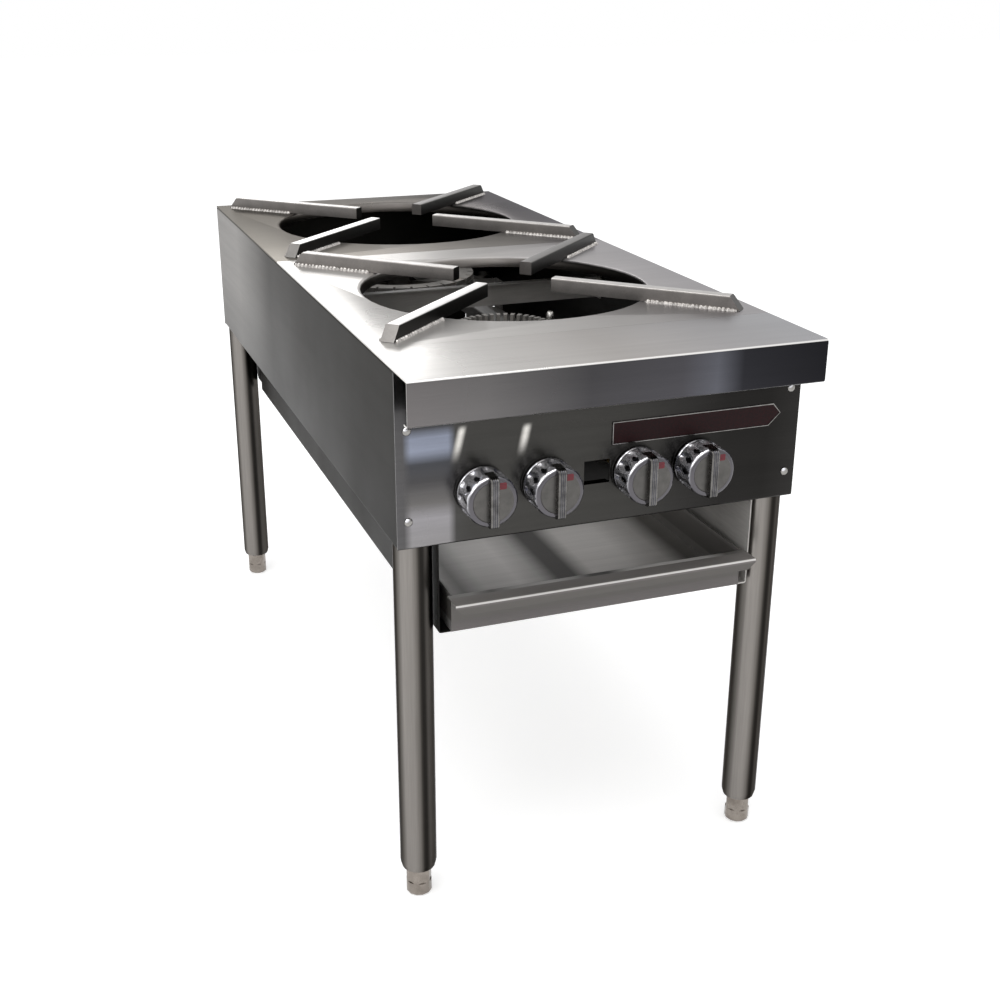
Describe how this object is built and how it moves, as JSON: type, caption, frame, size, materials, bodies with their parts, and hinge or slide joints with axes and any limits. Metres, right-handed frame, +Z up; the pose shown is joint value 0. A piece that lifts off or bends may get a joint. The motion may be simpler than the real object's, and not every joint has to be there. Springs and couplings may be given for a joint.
{
  "type": "stock pot range",
  "caption": "Low gas stock pot range on tube legs, with pot-rest arms over round burner openings, front knobs and a sliding drip tray.",
  "frame": {"origin": "middle of the footprint, gas inlet included, on the floor", "axes": "+Z up, +X to the right seen from the front, -Y towards the knobs, +Y towards the gas inlet"},
  "size_m": [0.457, 1.067, 0.6402],
  "materials": {
    "brushed_stainless": "vertical brushed grain",
    "bright_stainless": "fine brushed, bright",
    "dull_sheet": "plain mill sheet",
    "chrome": "polished plating",
    "cast_iron": "sand cast, heat darkened",
    "brass": "machined",
    "black_pipe": "black steel pipe"
  },
  "bodies": {
    "range_body": {"left_side_panel": "brushed_stainless", "right_side_panel": "brushed_stainless", "back_panel": "brushed_stainless", "front_control_panel": "brushed_stainless", "front_ledge": "bright_stainless", "front_left_leg": "brushed_stainless", "front_right_leg": "brushed_stainless", "rear_left_leg": "brushed_stainless", "rear_right_leg": "brushed_stainless", "front_left_leg_bracket": "dull_sheet", "front_right_leg_bracket": "dull_sheet", "rear_left_leg_bracket": "dull_sheet", "rear_right_leg_bracket": "dull_sheet", "left_tray_runner": "dull_sheet", "right_tray_runner": "dull_sheet", "manifold_heat_shield": "dull_sheet", "middle_baffle": "dull_sheet", "right_burner_rail": "dull_sheet", "left_burner_rail": "dull_sheet", "front_burner_outer_ring": "cast_iron", "front_burner_centre_head": "cast_iron", "rear_burner_centre_head": "cast_iron", "rear_burner_outer_ring": "cast_iron", "front_pilot": "brass", "rear_pilot": "brass", "gas_manifold": "black_pipe", "manifold_elbow": "black_pipe", "gas_supply_pipe": "black_pipe", "left_manifold_bracket": "dull_sheet", "right_manifold_bracket": "dull_sheet", "gas_valve_1": "brass", "gas_valve_2": "brass", "gas_valve_3": "brass", "gas_valve_4": "brass"},
    "front_top": {"front_top_plate": "bright_stainless", "front_plate_arm_front_left": "brushed_stainless", "front_plate_arm_front_right": "brushed_stainless", "front_plate_arm_back_right": "brushed_stainless", "front_plate_arm_back_left": "brushed_stainless"},
    "rear_top": {"rear_top_plate": "bright_stainless", "rear_plate_arm_front_left": "brushed_stainless", "rear_plate_arm_front_right": "brushed_stainless", "rear_plate_arm_back_right": "brushed_stainless", "rear_plate_arm_back_left": "brushed_stainless"},
    "tray": {"drip_tray": "brushed_stainless"},
    "knob_1": {"control_knob_1": "chrome", "valve_stem_1": "dull_sheet"},
    "knob_2": {"control_knob_2": "chrome", "valve_stem_2": "dull_sheet"},
    "knob_3": {"control_knob_3": "chrome", "valve_stem_3": "dull_sheet"},
    "knob_4": {"control_knob_4": "chrome", "valve_stem_4": "dull_sheet"},
    "foot_front_left": {"front_left_foot": "chrome"},
    "foot_front_right": {"front_right_foot": "chrome"},
    "foot_rear_left": {"rear_left_foot": "chrome"},
    "foot_rear_right": {"rear_right_foot": "chrome"}
  },
  "joints": [
    {"name": "knob_1_turn", "type": "hinge", "parent": "range_body", "child": "knob_1", "pos_m": [-0.139, -0.4907, 0.488], "axis": [0, -1, 0], "range_deg": [0, 90]},
    {"name": "knob_2_turn", "type": "hinge", "parent": "range_body", "child": "knob_2", "pos_m": [-0.067, -0.4907, 0.488], "axis": [0, -1, 0], "range_deg": [0, 90]},
    {"name": "knob_3_turn", "type": "hinge", "parent": "range_body", "child": "knob_3", "pos_m": [0.035, -0.4907, 0.488], "axis": [0, -1, 0], "range_deg": [0, 90]},
    {"name": "knob_4_turn", "type": "hinge", "parent": "range_body", "child": "knob_4", "pos_m": [0.106, -0.4907, 0.488], "axis": [0, -1, 0], "range_deg": [0, 90]},
    {"name": "tray_slide", "type": "slide", "parent": "range_body", "child": "tray", "axis": [0, -1, 0], "range_m": [0, 0.7]},
    {"name": "front_plate_lift", "type": "slide", "parent": "range_body", "child": "front_top", "axis": [0, 0, 1], "range_m": [0, 0.1]},
    {"name": "rear_plate_lift", "type": "slide", "parent": "range_body", "child": "rear_top", "axis": [0, 0, 1], "range_m": [0, 0.1]},
    {"name": "foot_front_left_adjust", "type": "slide", "parent": "range_body", "child": "foot_front_left", "axis": [0, 0, -1], "range_m": [0, 0.025]},
    {"name": "foot_front_right_adjust", "type": "slide", "parent": "range_body", "child": "foot_front_right", "axis": [0, 0, -1], "range_m": [0, 0.025]},
    {"name": "foot_rear_left_adjust", "type": "slide", "parent": "range_body", "child": "foot_rear_left", "axis": [0, 0, -1], "range_m": [0, 0.025]},
    {"name": "foot_rear_right_adjust", "type": "slide", "parent": "range_body", "child": "foot_rear_right", "axis": [0, 0, -1], "range_m": [0, 0.025]}
  ]
}
